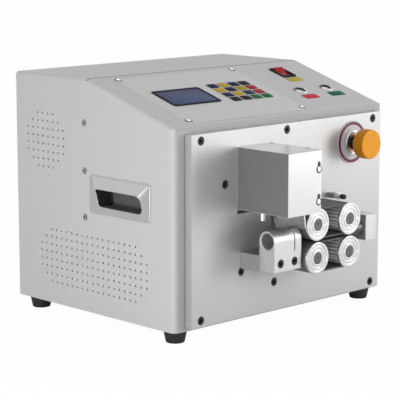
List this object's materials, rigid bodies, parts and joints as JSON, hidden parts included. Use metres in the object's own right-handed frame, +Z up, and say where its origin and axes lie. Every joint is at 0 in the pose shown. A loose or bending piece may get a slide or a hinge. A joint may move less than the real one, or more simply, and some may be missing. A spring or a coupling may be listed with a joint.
{
  "type": "tube cutting machine",
  "caption": "Bench-top case with a sloping control panel and a front plate carrying a twin belt feeder, a split tube guide and a guarded guillotine blade.",
  "frame": {"origin": "centre of the bounding box in X and Y, at the bench under the feet", "axes": "+X to the right seen from the front, +Y from the front to the rear, +Z up"},
  "size_m": [0.4176, 0.4192, 0.328],
  "materials": {
    "case_paint": "fine texture, satin",
    "inner_steel": "zinc plated",
    "plate_metal": "bead blasted, clear anodised",
    "machined": "fine milled",
    "black_steel": "black oxide",
    "chrome": "polished",
    "foot_rubber": "matt",
    "cup_plastic": "moulded",
    "lcd_black": "satin",
    "lcd_glass": "clear window over a grey-blue screen",
    "key_film": "satin film",
    "key_colour": "printed film",
    "rocker_red": "translucent",
    "button_steel": "turned",
    "label_yellow": "bare",
    "label_red": "bare",
    "label_green": "bare",
    "disc_pale": "bare",
    "head_amber": "moulded",
    "dark_plastic": "moulded",
    "guard_metal": "bent sheet",
    "blade_steel": "ground",
    "belt_rubber": "moulded",
    "motor_black": "satin",
    "board_green": "solder mask"
  },
  "bodies": {
    "case": {"base_tray": "inner_steel", "cover": "case_paint", "rear_panel": "case_paint", "front_frame": "inner_steel", "front_plate": "plate_metal", "cap_screws": "black_steel", "pan_screws": "chrome", "feet": "foot_rubber", "handle_cups": "cup_plastic", "control_panel": "case_paint", "lcd_frame": "lcd_black", "lcd_screen": "lcd_glass", "keypad_film": "key_film", "keypad_keys": "key_colour", "rocker_housing": "lcd_black", "button_bezels": "button_steel", "label_yellow": "label_yellow", "label_red": "label_red", "label_green": "label_green", "estop_disc": "disc_pale", "estop_body": "chrome", "guard": "guard_metal", "cutter_bracket": "machined", "cutter_rail": "chrome", "guide_post": "chrome", "cutter_motor": "motor_black", "motor_bracket": "inner_steel", "spacer_block": "machined", "guide_block": "machined", "inlet_block": "machined", "inlet_nozzle": "chrome", "lower_belt": "belt_rubber", "plate_bearings": "chrome", "lower_motor": "motor_black", "lift_guides": "chrome", "pressure_spring": "chrome", "accessory_post": "chrome", "power_inlet": "dark_plastic", "fan_housing": "dark_plastic", "power_supply": "inner_steel", "control_board": "board_green"},
    "rocker": {"rocker_switch": "rocker_red"},
    "start_cap": {"start_button": "button_steel"},
    "stop_cap": {"stop_button": "button_steel"},
    "estop_plunger": {"estop_stem": "dark_plastic"},
    "estop_knob": {"estop_head": "head_amber"},
    "carriage": {"blade_carriage": "machined", "blade_holder": "black_steel", "blade": "blade_steel"},
    "drive_screw": {"cutter_screw": "chrome"},
    "lift": {"lift_plate": "machined", "lift_bearings": "chrome", "upper_motor": "motor_black", "upper_belt": "belt_rubber"},
    "pulley_ll": {"lower_left_pulley": "machined"},
    "pulley_lr": {"lower_right_pulley": "machined"},
    "pulley_ul": {"upper_left_pulley": "machined"},
    "pulley_ur": {"upper_right_pulley": "machined"},
    "fan": {"fan_rotor": "dark_plastic"}
  },
  "joints": [
    {"name": "rocker_tilt", "type": "hinge", "parent": "case", "child": "rocker", "pos_m": [0.13, 0.0198, 0.31407], "axis": [1, 0, 0], "range_deg": [-18, 0]},
    {"name": "start_press", "type": "slide", "parent": "case", "child": "start_cap", "axis": [0, 0.2953, -0.9554], "range_m": [0, 0.0022], "stiffness_N_per_m": 900, "springref_m": -0.001},
    {"name": "stop_press", "type": "slide", "parent": "case", "child": "stop_cap", "axis": [0, 0.2953, -0.9554], "range_m": [0, 0.0022], "stiffness_N_per_m": 900, "springref_m": -0.001},
    {"name": "estop_press", "type": "slide", "parent": "case", "child": "estop_plunger", "axis": [0, 1, 0], "range_m": [0, 0.005], "stiffness_N_per_m": 900, "springref_m": -0.002},
    {"name": "estop_twist", "type": "hinge", "parent": "estop_plunger", "child": "estop_knob", "pos_m": [0.121, -0.1389, 0.232], "axis": [0, -1, 0], "range_deg": [-35, 0], "stiffness_Nm_per_rad": 0.05, "springref_deg": 11.46},
    {"name": "blade_stroke", "type": "slide", "parent": "case", "child": "carriage", "axis": [0, 0, 1], "range_m": [-0.024, 0]},
    {"name": "screw_turn", "type": "hinge", "parent": "case", "child": "drive_screw", "pos_m": [-0.088, -0.06086, 0.197], "axis": [0, 0, 1], "range_deg": [0, 870]},
    {"name": "belt_lift", "type": "slide", "parent": "case", "child": "lift", "axis": [0, 0, 1], "range_m": [0, 0.015], "stiffness_N_per_m": 1500, "springref_m": -0.01, "deforming": ["pressure_spring"]},
    {"name": "lower_left_spin", "type": "hinge", "parent": "case", "child": "pulley_ll", "pos_m": [-0.016, -0.1569, 0.0995], "axis": [0, 1, 0], "continuous": true},
    {"name": "lower_right_spin", "type": "hinge", "parent": "case", "child": "pulley_lr", "pos_m": [0.0465, -0.1569, 0.0995], "axis": [0, 1, 0], "continuous": true},
    {"name": "upper_left_spin", "type": "hinge", "parent": "lift", "child": "pulley_ul", "pos_m": [-0.016, -0.1569, 0.1438], "axis": [0, 1, 0], "continuous": true},
    {"name": "upper_right_spin", "type": "hinge", "parent": "lift", "child": "pulley_ur", "pos_m": [0.0465, -0.1569, 0.1438], "axis": [0, 1, 0], "continuous": true},
    {"name": "fan_spin", "type": "hinge", "parent": "case", "child": "fan", "pos_m": [0.12, 0.1881, 0.222], "axis": [0, 1, 0], "continuous": true}
  ],
  "couplings": [
    {"joint": "screw_turn", "follows": "blade_stroke", "rad_per_m": -628.32},
    {"joint": "lower_right_spin", "follows": "lower_left_spin", "ratio": 1},
    {"joint": "upper_left_spin", "follows": "lower_left_spin", "ratio": -1},
    {"joint": "upper_right_spin", "follows": "lower_left_spin", "ratio": -1}
  ]
}
